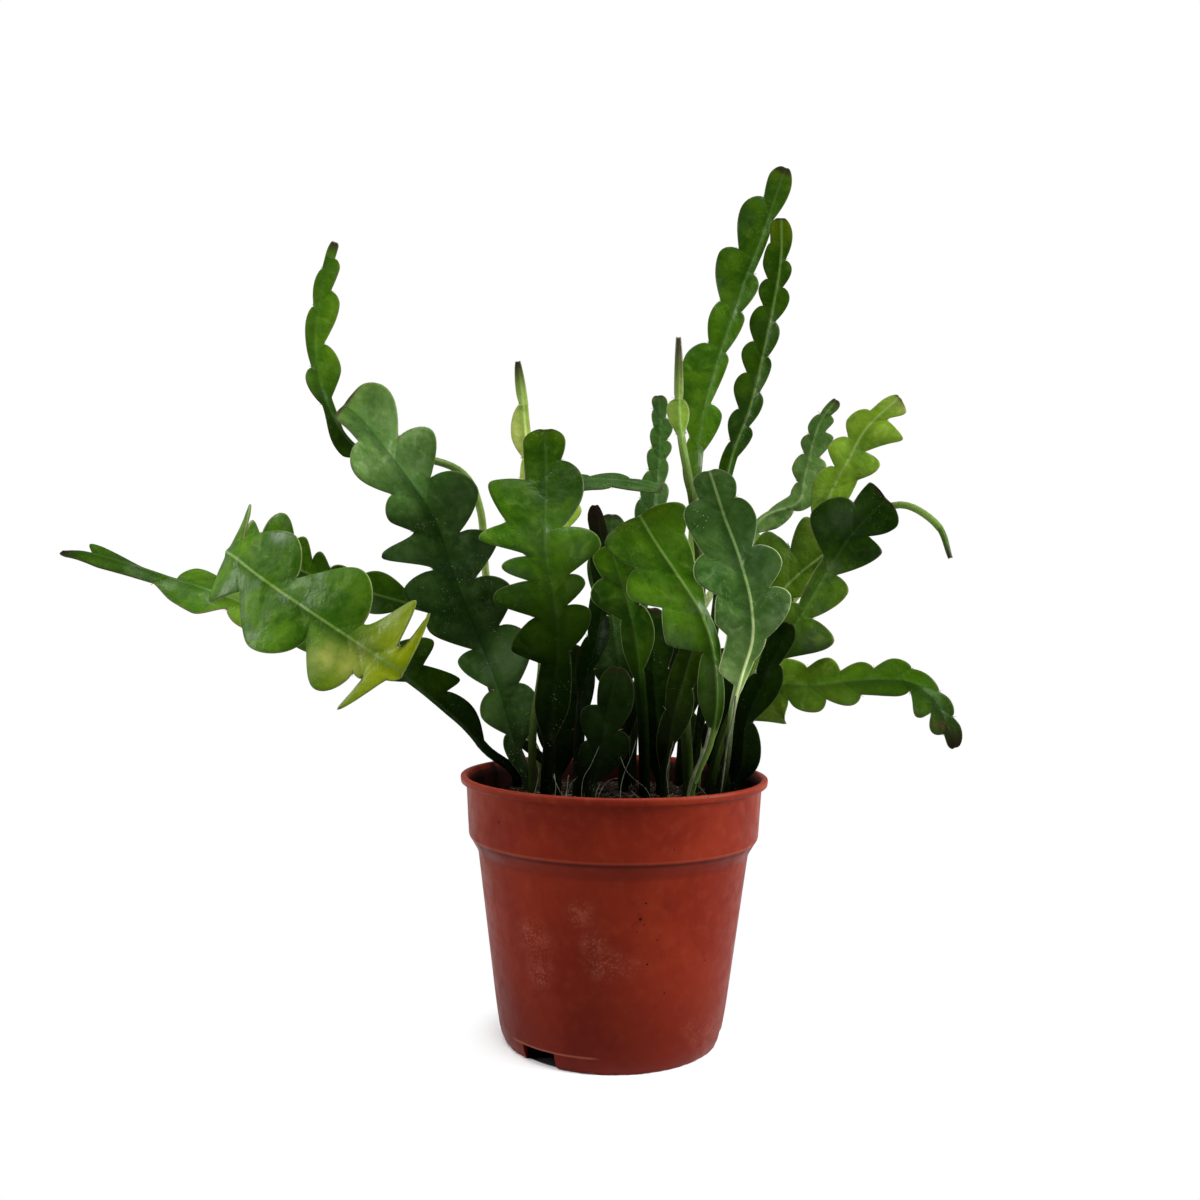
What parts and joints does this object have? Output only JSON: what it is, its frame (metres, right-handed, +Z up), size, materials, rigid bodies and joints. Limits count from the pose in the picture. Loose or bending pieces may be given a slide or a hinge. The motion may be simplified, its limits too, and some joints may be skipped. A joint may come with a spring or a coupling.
{
  "type": "potted fishbone cactus",
  "caption": "Potted fishbone cactus: flat zigzag-lobed green stems rising and arching from a round, lipped terracotta-coloured nursery pot filled with peat.",
  "frame": {"origin": "middle of the pot's foot, on the surface that it stands on", "axes": "+Z up; -Y towards the side that the picture shows, so that +X is to the viewer's right"},
  "size_m": [0.3564, 0.1271, 0.3495],
  "materials": {
    "pot_plastic": "brick-red moulded plastic with a soft sheen and fine scuffs",
    "peat": "dark, crumbly, fibrous potting peat",
    "stem_green": "waxy mid green stem skin",
    "stem_grey_green": "waxy grey-green stem skin with fine pale specks",
    "stem_young_green": "fresh yellow-green stem skin",
    "stem_dark_green": "shaded dark green stem skin"
  },
  "bodies": {
    "root": {"pot": "pot_plastic", "potting_soil": "peat", "stem_far_left": "stem_green", "stem_left_fold": "stem_green", "stem_left_tall": "stem_green", "stem_left_broad": "stem_grey_green", "stem_left_spear": "stem_young_green", "stem_front_left": "stem_green", "stem_level": "stem_grey_green", "stem_dark_tip": "stem_dark_green", "stem_low_left": "stem_dark_green", "stem_low_middle": "stem_dark_green", "stem_dark_middle": "stem_dark_green", "stem_grey_back": "stem_grey_green", "stem_inner_stalk": "stem_green", "stem_front_middle": "stem_green", "stem_front_right": "stem_grey_green", "stem_tallest": "stem_green", "stem_tall_right": "stem_green", "stem_pale_spear": "stem_young_green", "stem_narrow_back": "stem_grey_green", "stem_far_right_small": "stem_grey_green", "stem_far_right_young": "stem_young_green", "stem_right_upper": "stem_dark_green", "stem_right_young": "stem_young_green", "stem_right_shoot": "stem_green", "stem_right_level": "stem_green", "stem_right_dark": "stem_dark_green", "stem_back_right": "stem_dark_green", "stem_low_right": "stem_dark_green"}
  },
  "joints": []
}
